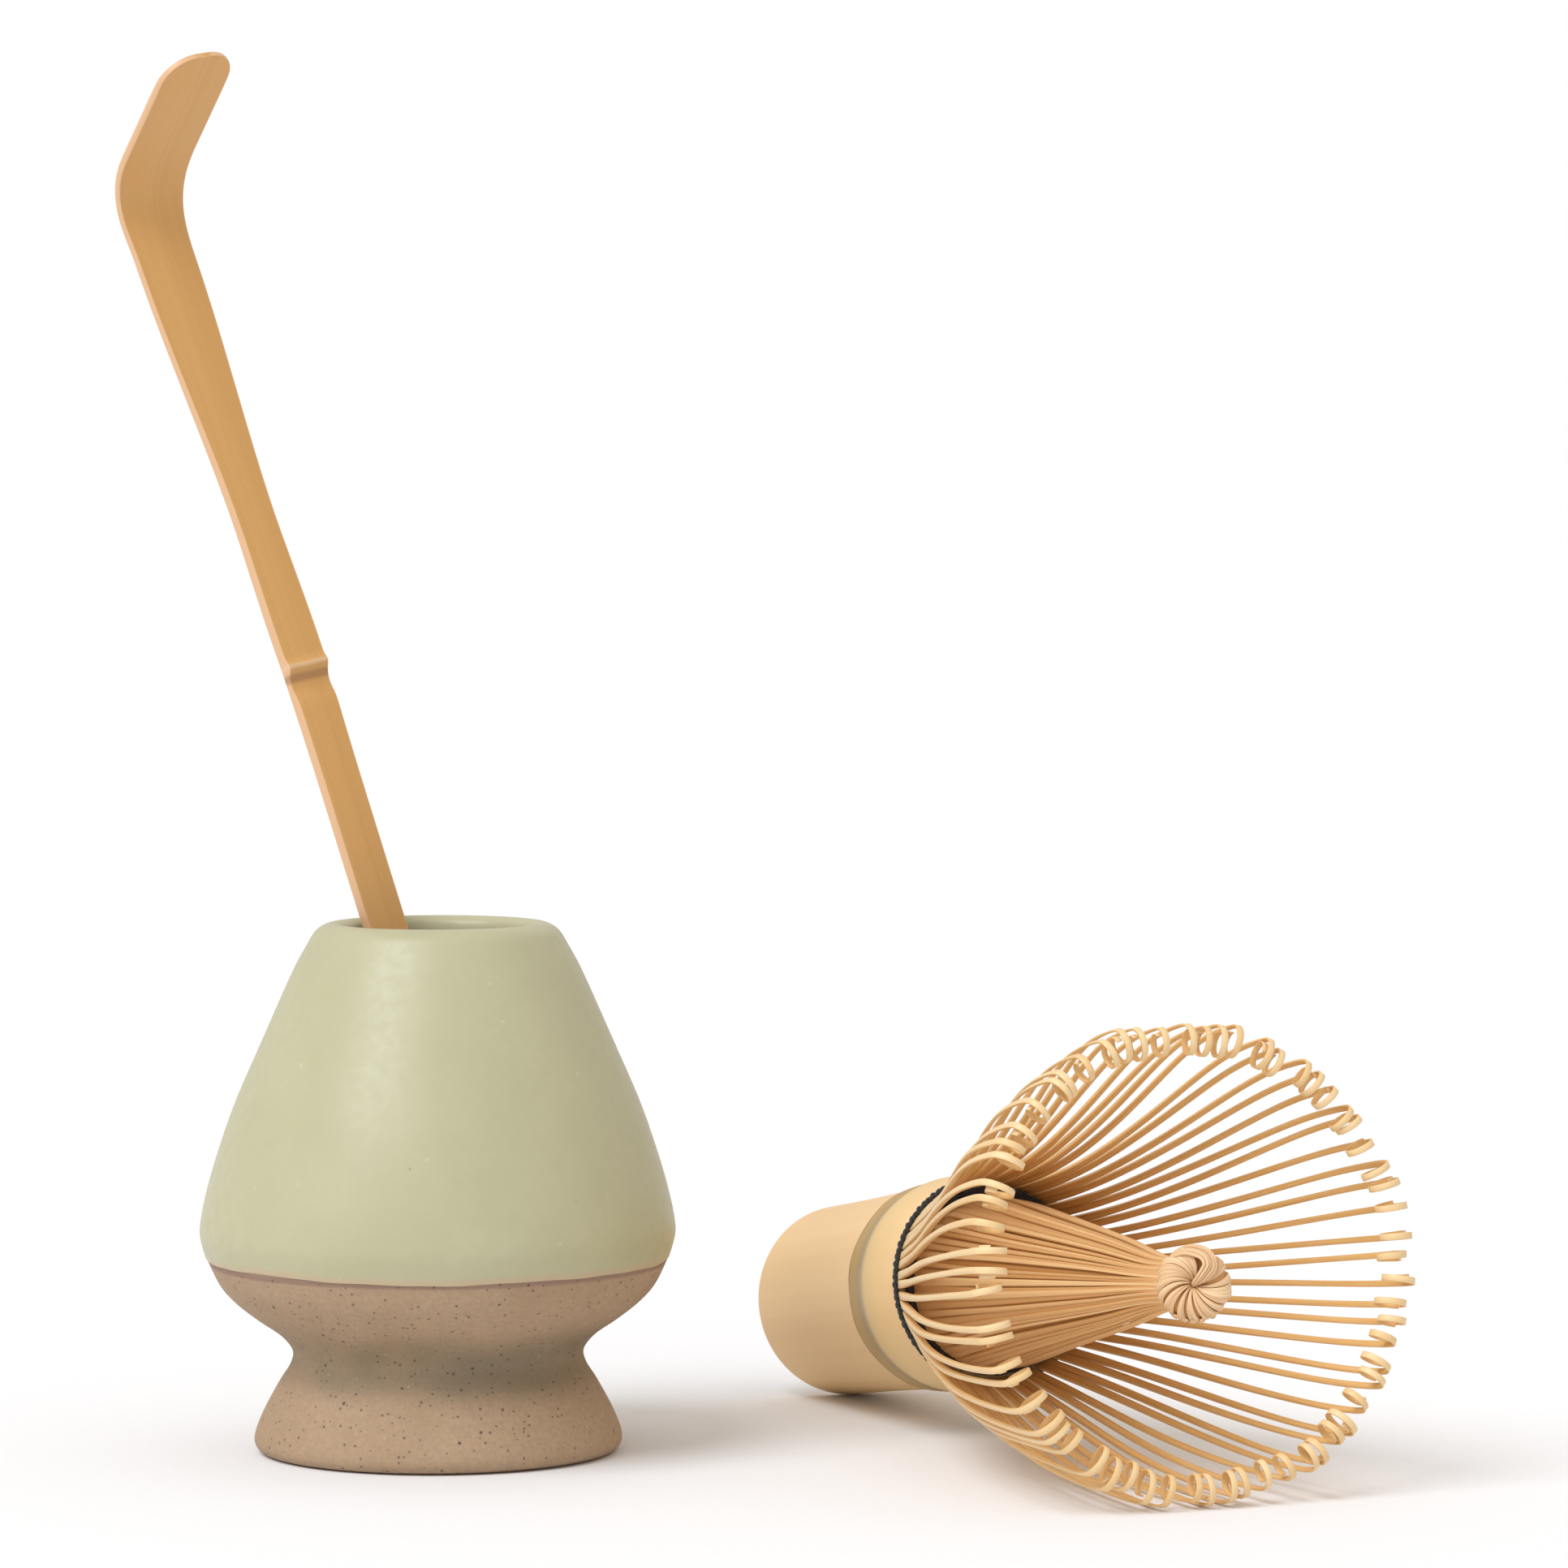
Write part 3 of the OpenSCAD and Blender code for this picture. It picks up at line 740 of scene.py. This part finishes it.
# %% The scoop
EDGE_R, CROWN = 0.26, 0.10
tip_stations = SCOOP_LEN - TIP_ROUND * (1 - np.sin(np.linspace(0.06, math.pi / 2, 16)))
stations = np.concatenate([
    np.linspace(0, 92, 60), np.linspace(92.2, 104, 90), np.linspace(104.5, 158, 60),
    np.linspace(158.5, SCOOP_LEN - TIP_ROUND, 80), tip_stations])
fine_s = np.linspace(0, SCOOP_LEN, 4000)
lean = np.radians(scoop_angle(fine_s))
step = fine_s[1]
back = np.concatenate([[0], np.cumsum(-np.sin(lean) * step)[:-1]])
up = np.concatenate([[0], np.cumsum(np.cos(lean) * step)[:-1]])
rows, grain, side = [], [], []
for s in stations:
    a = math.radians(float(scoop_angle(s)))
    centre = np.array([0, np.interp(s, fine_s, back), np.interp(s, fine_s, up)])
    out = np.array([0, math.cos(a), math.sin(a)])
    w = float(scoop_width(s)) / 2
    t = float(scoop_thickness(s)) / 2
    face = -t - float(joint_bump(s))
    r = EDGE_R
    inner_r = EDGE_R * 0.3
    flank = [(w - inner_r, face + inner_r), (w, face + r), (w, 0.0), (w, t - r), (w - inner_r, t - inner_r)]
    loop = [(x, face + CROWN * (x / w) ** 2) for x in np.linspace(-w + r, w - r, 9)] + flank
    loop += [(x, t) for x in np.linspace(w - r, -w + r, 9)]
    loop += [(-x, y) for x, y in reversed(flank)]
    rows.append([centre + np.array([x, 0, 0]) + out * y for x, y in loop])
    grain += [(s * MM, x * MM, y * MM) for x, y in loop]
    side += [1.0 if abs(x) >= w - r * 0.4 else 0.0 for x, y in loop]
rows = np.array(rows)
tea_scoop = build("tea_scoop", moved(rows, scoop_frame), skin(rows), {"grain": grain, "side": side},
                  scoop_bamboo, sharp=50)
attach(tea_scoop, "scoop")
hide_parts("scoop")

# %% [markdown]
# ## The whisk's handle
# The handle is the culm itself, with its skin left on. Its joint makes a small step, a groove and a swelling,
# and beyond that the wall is split into tines. The butt is sawn and its edge rounded, and the culm is open as
# far as the wall inside the joint. This is a turned shape too, but the end towards the tines is cut at a
# slight slope, because the head droops a little from its own weight on the table.

# %% Frames along the whisk
CULM_R, BUTT_ROUND, STEP_S, COLLAR_S, COLLAR_R = 13.5, 1.7, 36.6, 52.0, 14.1
CURL_S, CURL_RHO, CURL_R = 115.6, 28.8, 2.45
HEAD_LEN = CURL_S - COLLAR_S
BORE_R, DIAPHRAGM = 10.1, 2.5
HEAD_DROOP, CORE_DROOP = math.radians(1.2), math.radians(2.4)
TINE_W, TINE_T = 0.85, 0.5
OUTER_BASE = COLLAR_R - 0.4 - TINE_T / 2
INNER_BASE = BORE_R + 1
KNOT_Z = HEAD_LEN - 0.6

rest_a = COLLAR_S - BUTT_ROUND + HEAD_LEN * math.cos(HEAD_DROOP) - CURL_RHO * math.sin(HEAD_DROOP)
rest_b = CULM_R - BUTT_ROUND - HEAD_LEN * math.sin(HEAD_DROOP) - CURL_RHO * math.cos(HEAD_DROOP)
tilt = math.atan2(rest_a, rest_b) - math.acos((CURL_R - BUTT_ROUND) / math.hypot(rest_a, rest_b))
whisk_z = (CULM_R - BUTT_ROUND) * math.cos(tilt) + BUTT_ROUND * (1 - math.sin(tilt))
whisk_frame = (Matrix.Translation((55.0, 57.4, whisk_z)) @ Matrix.Rotation(math.radians(22.7), 4, "Z")
               @ Matrix.Rotation(math.pi / 2 - tilt, 4, "X"))
head_frame = whisk_frame @ Matrix.Translation((0, 0, COLLAR_S)) @ Matrix.Rotation(HEAD_DROOP, 4, "X")
core_frame = (head_frame @ Matrix.Translation((0, 0, (INNER_BASE + 0.1) * math.sin(CORE_DROOP)))
              @ Matrix.Rotation(CORE_DROOP, 4, "X"))
print("the whisk leans", round(math.degrees(tilt), 2), "degrees, its butt's centre", round(whisk_z, 2),
      "mm above the table")

# %% The handle
HANDLE_SEGMENTS = 144
edge = [[CULM_R - BUTT_ROUND * (1 - math.sin(a)), BUTT_ROUND * (1 - math.cos(a))]
        for a in np.linspace(0, math.pi / 2, 9)]
culm = spline([[CULM_R, BUTT_ROUND + 0.1], [CULM_R + 0.2, STEP_S / 2], [CULM_R + 0.6, STEP_S - 0.6]], 12)
collar = spline([[CULM_R + 1.1, STEP_S + 0.5], [CULM_R + 0.8, STEP_S + 2.4], [CULM_R + 1.4, STEP_S + 6.4],
                 [CULM_R + 1.3, STEP_S + 9], [COLLAR_R + 0.3, COLLAR_S - 1.6], [COLLAR_R, COLLAR_S]], 8)
cup = [[BORE_R, COLLAR_S], [BORE_R, STEP_S + DIAPHRAGM + 1.2], [BORE_R - 1.2, STEP_S + DIAPHRAGM],
       [0, STEP_S + DIAPHRAGM]]
tube = [[0, STEP_S], [BORE_R - 1.4, STEP_S], [BORE_R, STEP_S - 1.4], [BORE_R, 0.5], [BORE_R + 0.4, 0]]
profile = np.concatenate([tube, edge, culm, [[CULM_R + 0.95, STEP_S - 0.05]], collar,
                          [[COLLAR_R - 0.5, COLLAR_S + 0.01]], cup])
rows = lathe(profile, HANDLE_SEGMENTS)
turn = np.arctan2(rows[:, :, 1], rows[:, :, 0])
ring = rows[:, :, 2]
swell = (0.06 * np.sin(2 * turn + 0.5) * smooth(ring / 12)
         + 0.07 * np.sin(9 * turn + 1) * np.exp(-((ring - STEP_S - 0.5) / 0.9) ** 2))
rows[:, :, :2] *= (1 + swell / CULM_R)[:, :, None]
rows[:, :, 2] += smooth((ring - STEP_S - 4) / 10) * rows[:, :, 1] * math.tan(HEAD_DROOP)
number = np.arange(len(profile))
skin_end = len(tube) + len(edge) + len(culm) + len(collar)
is_cut = ((number <= len(tube)) | (number > skin_end)).astype(float)
cut = np.repeat(is_cut[:, None], rows.shape[1], axis=1)
grain = np.stack([ring, rows[:, :, 0], rows[:, :, 1]], axis=2) * MM
whisk_culm = build("whisk_culm", moved(rows, whisk_frame), skin(rows, lids=False),
                   {"grain": grain.reshape(-1, 3), "cut": cut.ravel()}, culm_bamboo, sharp=40)
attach(whisk_culm, "whisk")
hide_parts("whisk_handle")

# %% [markdown]
# ## The outer tines
# The culm's wall is split into a ring of fine tines, shaved thinner towards their ends, and each end is
# rolled over a warm iron into a curl. They spring a little apart and no two are alike. Instancing one tine
# would give a machine's regularity, so each is laid out on its own: how far it bows, where its tip has
# wandered, how tight and how many turns its curl has, and the small sideways pitch that keeps a curl's turns
# from touching. The fact "inner" marks the side that was inside the culm, which is darker wood than the skin.

# %% One outer tine
dice = random.Random(11)
OUTER_COUNT, INNER_COUNT = 64, 64
BOW, BOW_SIDE = 2.2, math.radians(-125)
EASING, CURL_STEP, CURL_CLOSING = 14, 12, 0.34


def outer_line(bow, push, radius, turns):
    """A tine in its radial plane: [distance from the axis, distance from the collar]."""
    rho, tip = CURL_RHO + push, HEAD_LEN
    widest = rho + radius - TINE_T / 2
    stem = spline([[OUTER_BASE, 0], [OUTER_BASE + 1.2 + bow / 3, 5], [OUTER_BASE + 4.8 + bow, 18],
                   [OUTER_BASE + 10.4 + bow, 34], [widest - 1.7, tip - 13], [widest - 0.12, tip - 3],
                   [widest, tip]], 7)
    ends = [stem[:2].copy(), stem[-2:].copy()]
    for _ in range(EASING):
        stem[1:-1] = (stem[:-2] + 2 * stem[1:-1] + stem[2:]) / 4
        stem[:2], stem[-2:] = ends
    angles = np.radians(np.arange(CURL_STEP, 360 * turns, CURL_STEP))
    r = radius - TINE_T / 2 - CURL_CLOSING * radius * angles / angles[-1]
    curl = np.stack([rho + r * np.cos(angles), tip + r * np.sin(angles)], axis=1)
    return np.concatenate([stem, curl]), len(stem)


def outer_tine(turn, tip_turn, bow, push, radius, turns, pitch):
    """Rows of one tine in the head's frame, and how far along it each row is."""
    flat, stem = outer_line(bow, push, radius, turns)
    s = length_along(flat)
    share = smooth(s / s[stem])
    way = turn + (tip_turn - turn) * share
    sideways = pitch * smooth((s - s[stem] + 3) / (s[-1] - s[stem] + 3))
    line = np.stack([flat[:, 0] * np.cos(way) - sideways * np.sin(way),
                     flat[:, 0] * np.sin(way) + sideways * np.cos(way), flat[:, 1]], axis=1)
    across = np.stack([-np.sin(way), np.cos(way), 0 * way], axis=1)
    face = np.cross(unit(np.gradient(line, axis=0)), across)
    width = np.interp(s, [0, 4, 16, s[stem] * 0.75, s[stem], s[-1]],
                      [1.16, 1.10, TINE_W, TINE_W - 0.08, TINE_W + 0.05, TINE_W - 0.06])
    thick = np.interp(s, [0, 8, 30, s[stem] * 0.75, s[stem], s[-1]],
                      [0.60, 0.95, 0.78, TINE_T, 0.30, 0.18])
    return strip(line, face, width, thick), s


print("one tine has", len(outer_tine(0, 0, 0, 0, CURL_R, 1, 0.5)[0]), "stations")

# %% All the outer tines
# A curl that would dip into the table is pushed back towards the axis, a tenth of a millimetre at a time.
LOWEST, STEP_BACK = 0.03, 0.1
pitch = 2 * math.pi / OUTER_COUNT
tines = []
for k in range(OUTER_COUNT):
    place = k * pitch - math.pi / 2
    base_turn = place + pitch * (0.12 if k % 2 else -0.12) * dice.uniform(0.2, 1.0)
    tip_turn = place + pitch * dice.uniform(-0.34, 0.34)
    bow = BOW * math.cos(place - BOW_SIDE) + dice.uniform(-0.35, 0.35)
    radius = CURL_R * dice.uniform(0.88, 1.06)
    push = dice.uniform(-0.5, 0.5)
    turns = dice.uniform(0.92, 1.28)
    spread = dice.choice([-1, 1, 1]) * dice.uniform(0.35, 0.85)
    while True:
        rows, s = outer_tine(base_turn, tip_turn, bow, push, radius, turns, spread)
        rows = moved(rows, head_frame)
        if rows[:, :, 2].min() > LOWEST:
            break
        push -= STEP_BACK
    tines.append((rows, s, dice.uniform(0, 1), dice.random()))
points, faces, facts = bundle(tines, 0.0002)
facts["inner"] = np.tile([1, 1, 0.8, 0, 0, 0.8, 1, 1], len(points) // 8)
whisk_outer_tines = build("whisk_outer_tines", points, faces, facts, tine_bamboo, sharp=50)
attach(whisk_outer_tines, "whisk")
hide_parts(*["outer_tines_" + str(i) for i in range(1, 9)])

# %% [markdown]
# ## The core
# Every other split is folded inwards to make the core, a nearly straight cone that runs from the thread to a
# narrow neck. It has 128 flat strips in two layers: the outer ones differ slightly in depth and width, and
# dark gaps open between them onto the inner ones, which are painted in the deepest tone as shade. A spindle
# with grooves in its material would be lighter, but its gaps would not be dark, and its edges would be smooth
# where the real ones are stepped.

# %% The core's strips
SAG, SAG_REACH, LAYER_DEPTH = 0.55, 12, 0.75
core_line = spline([
    [INNER_BASE + 0.2, 0], [INNER_BASE + 0.7, 3.4], [INNER_BASE + 0.1, 9], [INNER_BASE - 1.5, 19],
    [INNER_BASE - 3.2, 30], [INNER_BASE - 5.1, 42], [3.9, 53], [3.3, KNOT_Z - 3.9], [2.2, KNOT_Z - 2.4]], 6)


def core_strip(turn, drift, sink, broad):
    """Rows of one strip of the core. sink is its depth under the outermost ones."""
    s = length_along(core_line)
    middle = smooth(s / 8) * smooth((s[-1] - s) / 12)
    way = turn + drift * smooth(s / 25) * smooth((s[-1] - s) / 20)
    sag = SAG * (math.sin(turn) + math.cos(turn)) * np.exp(-s / SAG_REACH)
    rho = core_line[:, 0] - 0.25 - sink * middle - sag
    width = np.maximum(broad * rho, 0.34)
    thick = np.interp(s, [0, s[-1]], [0.50, 0.28])
    return strip(polar(rho, way, core_line[:, 1]), polar(1, way, 0), width, thick), s


pitch = 2 * math.pi / INNER_COUNT
strips = []
for layer in (0, 1):
    for k in range(INNER_COUNT):
        turn = (k + 0.5 + 0.5 * layer) * pitch + pitch * dice.uniform(-0.15, 0.15)
        sink = LAYER_DEPTH * layer + dice.choice([0.0, 0.10, 0.20, 0.45]) + dice.uniform(0, 0.08)
        broad = pitch * (1.05 if layer else dice.choice([0.56, 0.70, 0.84, 1.08]))
        rows, s = core_strip(turn, pitch * dice.uniform(-0.45, 0.45), sink, broad)
        offset = dice.uniform(0, 1)
        # The inner layer, seen only down the gaps, gets the deepest tone: painted shade between the strips.
        strips.append((moved(rows, core_frame), s, offset, 0.0 if layer else dice.uniform(0.25, 1.0)))
points, faces, facts = bundle(strips, 0.0003)
whisk_core = build("whisk_core", points, faces, facts, core_bamboo, sharp=50)
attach(whisk_core, "whisk")
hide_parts(*["inner_tines_" + str(i) for i in range(1, 5)])

# %% [markdown]
# ## The knot
# The tips of the core are soaked, twisted together and tucked back through themselves, which leaves a
# rosette: strips that come over the rim and swirl into a dark centre, with one bundle standing up as a loop.
# Each strip follows a helix on a ring: out from the neck behind, over the rim, and down into the middle in
# front. The strips leave a gap under the loop, and a second layer of strips lies below them all, painted in
# the deepest tone as shade in the knot's depth.

# %% The knot's strips
RING_R, TUBE_R = 2.55, 2.15
KNOT_STRIPS, UNDER_STRIPS, LOOP_STRIPS, NECK_STRIPS = 26, 22, 5, 4
knot_centre = core_frame @ Vector((0, 0, KNOT_Z))
swirl_axis = Vector((-0.05, -0.97, 0.16)).normalized()
swirl_up = (Vector((0, 0, 1)) - swirl_axis * swirl_axis.z).normalized()
swirl_side = swirl_up.cross(swirl_axis)
knot_turn = Matrix((swirl_side, swirl_up, swirl_axis)).transposed().to_4x4()
knot_frame = Matrix.Translation(knot_centre) @ knot_turn


def ring_strip(turn, sweep, psi_from, psi_to, fill, tube, lean=0.0):
    """A strip wound over a ring. psi is 0 at the rim and 180 in the front of the hole."""
    u = np.linspace(0, 1, 30)
    psi = np.radians(psi_from + (psi_to - psi_from) * u)
    phi = np.radians(turn + sweep * u ** 1.6)
    rho = np.maximum(RING_R + tube * np.cos(psi), 0.10)
    line = polar(rho, phi, tube * np.sin(psi) * 0.95)
    out = polar(np.cos(psi), phi, np.sin(psi))
    across = unit(np.cross(unit(np.gradient(line, axis=0)), out))
    out = out * math.cos(lean) + across * math.sin(lean)
    width = np.clip(fill * rho * 2 * math.pi / KNOT_STRIPS, 0.24, 1.1)
    return strip(line, out, width, 0.46 - 0.16 * u, bevel=0.45), length_along(line)


def loop_strip(number):
    """One of the strips of the bundle that stands up in a loop and dives into the centre."""
    side = (number - (LOOP_STRIPS - 1) / 2) * 0.54
    line = spline([[-3.2, 2.0, -1.8], [-2.8, 3.5, -0.3], [-0.9, 4.4, 1.2], [1.3, 3.8, 2.3],
                   [2.0, 2.3, 2.9], [1.1, 0.9, 2.7], [0.2, 0.1, 1.5], [0.0, -0.1, 0.4]], 6)
    out = unit(line - np.array([-0.2, 1.4, -0.4]))
    s = length_along(line)
    room = np.interp(s / s[-1], [0, 0.5, 0.72, 1], [0.8, 1.0, 0.75, 0.2])
    line = line + unit(np.cross(unit(np.gradient(line, axis=0)), out)) * (side * room)[:, None]
    line += out * (0.14 * (number % 2))
    return strip(line, out, 0.47 * room, 0.42, bevel=0.45), s


print("the knot's centre is at", [round(v, 1) for v in knot_centre], "mm")

# %% The knot
made_strips = []
for k in range(KNOT_STRIPS):
    turn = k * 360 / KNOT_STRIPS + dice.uniform(-2.5, 2.5)
    if 62 < turn < 128:
        continue
    sweep = -46 - 30 * max(0, math.cos(math.radians(turn - 165))) + dice.uniform(-6, 6)
    made_strips.append((ring_strip(turn, sweep, -125, 168, dice.choice([0.62, 0.85, 0.95, 1.2]),
                                   TUBE_R + dice.uniform(-0.25, 0.08), math.radians(dice.uniform(6, 24))),
                        dice.uniform(0.72, 1.0)))
# The under layer gets the deepest tone: painted shade in the depth of the knot.
for k in range(UNDER_STRIPS):
    turn = k * 360 / UNDER_STRIPS + 6
    depth = 1.15 if 70 < turn < 140 else 0.55
    made_strips.append((ring_strip(turn, -60, -120, 165, 1.25, TUBE_R - depth), 0.0))
for number in range(LOOP_STRIPS):
    made_strips.append((loop_strip(number), dice.uniform(0.85, 1.0)))
for k in range(NECK_STRIPS):
    psi_to = 20 + dice.uniform(0, 8)
    made_strips.append((ring_strip(-124 + k * 14, 6, -70, psi_to, 0.65, TUBE_R + 0.12), 0.9))
strips = [(moved(rows, knot_frame), s, dice.uniform(0, 1), shade) for (rows, s), shade in made_strips]
points, faces, facts = bundle(strips, 0.0003)
whisk_knot = build("whisk_knot", points, faces, facts, knot_bamboo, sharp=50)
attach(whisk_knot, "whisk")
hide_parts("tine_knot")

# %% [markdown]
# ## The threads
# A black cotton thread is woven in and out of the splits to hold the outer tines apart from the core. Outside
# it shows as a two-ply cord with a scalloped edge, pulled in a little at each gap. Inside it is wound several
# times into a dark band. Both are round strands swept along a line: a curve with a round bevel would do for a
# plain ring, but plies that twist round each other need their own centre lines.


# %% Round strands
def strand(line, radius, sides=8):
    """Rows of a round strand along a line that circles the axis."""
    along = unit(np.roll(line, -1, axis=0) - np.roll(line, 1, axis=0))
    out = unit(np.stack([line[:, 0], line[:, 1], 0 * line[:, 0]], axis=1))
    side = unit(np.cross(along, out))
    out = np.cross(side, along)
    rows = [line + radius * (math.cos(a) * out + math.sin(a) * side)
            for a in np.linspace(0, 2 * math.pi, sides, endpoint=False)]
    return np.stack(rows, axis=1)


def strands(name, lines, radius, material, cad_node, closed):
    """One piece from several strands in the head's frame."""
    points, faces, grain = [], [], []
    count = 0
    for line in lines:
        rows = strand(line, radius)
        if closed:
            rows = np.concatenate([rows, rows[:1]])
        faces += skin(rows, lids=not closed, first=count)
        count += rows.shape[0] * rows.shape[1]
        points.append(moved(rows, head_frame).reshape(-1, 3))
        grain += [(at * MM, 0.0002 * j, 0.0) for at in length_along(rows[:, 0])
                  for j in range(rows.shape[1])]
    made = build(name, np.concatenate(points), faces, {"grain": grain}, material, sharp=80)
    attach(made, "whisk")
    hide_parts(cad_node)
    return made


# %% The outer thread
THREAD_D, PLY_R, PLY_SWING, TWISTS = 0.9, 0.23, 0.17, 48
turn = np.linspace(0, 2 * math.pi, 1536, endpoint=False)
ring_rho = OUTER_BASE + TINE_T / 2 + 0.2 + THREAD_D / 2
plies = []
for start_turn in (0, math.pi):
    spin = TWISTS * turn + start_turn
    rho = ring_rho - 0.08 + 0.06 * np.cos(OUTER_COUNT * turn) + PLY_SWING * np.cos(spin)
    z = THREAD_D / 2 + PLY_SWING * np.sin(spin)
    plies.append(polar(rho, turn, z))
whisk_outer_thread = strands("whisk_outer_thread", plies, PLY_R, thread_black, "outer_thread", True)

# %% The inner thread
WINDINGS, WINDING_RISE, STRAND_R, LAYER_RADII = 3, 0.36, 0.34, (12.02, 12.50)
turn = np.linspace(0, WINDINGS * 2 * math.pi, 2304)
winding = []
for layer, reach in enumerate(LAYER_RADII):
    z = 0.40 + WINDING_RISE * turn / (2 * math.pi)
    rho = reach + 0.10 * np.sin(32 * turn + layer) + 0.05 * np.sin(7 * turn)
    winding.append(polar(rho, turn, z))
whisk_inner_thread = strands("whisk_inner_thread", winding, STRAND_R, thread_navy, "inner_thread", False)

# %% [markdown]
# ## The floor
# The floor is a wide sheet of pale matt paper. It is a plain flat grid a hair below zero, so that it never
# fights with the undersides that stand at zero.

# %% The floor
FLOOR_HALF, FLOOR_DROP = 30, 0.00002
paper, tree, shader = start("paper", 0.9, Specular_IOR_Level=0.15)
place = node(tree, "TexCoord").outputs["Object"]
tooth = mottle(tree, place, 900.0, 0.2, 0.8)
white = blend(tree, tooth, (0.85, 0.855, 0.865, 1), (0.87, 0.875, 0.885, 1))
tree.links.new(white, shader.inputs["Base Color"])
sheet = bmesh.new()
bmesh.ops.create_grid(sheet, x_segments=8, y_segments=8, size=FLOOR_HALF)
floor_mesh = bpy.data.meshes.new("floor")
sheet.to_mesh(floor_mesh)
sheet.free()
floor = bpy.data.objects.new("floor", floor_mesh)
floor.data.materials.append(paper)
floor.location.z = -FLOOR_DROP
bpy.context.scene.collection.objects.link(floor)
print("the floor is", 2 * FLOOR_HALF, "m wide")

# %% [markdown]
# ## Finish
# The pieces are meant to fill the same box as the solids they stand for. The last step only brings the
# scene up to date.

# %% Finish
bpy.context.view_layer.update()
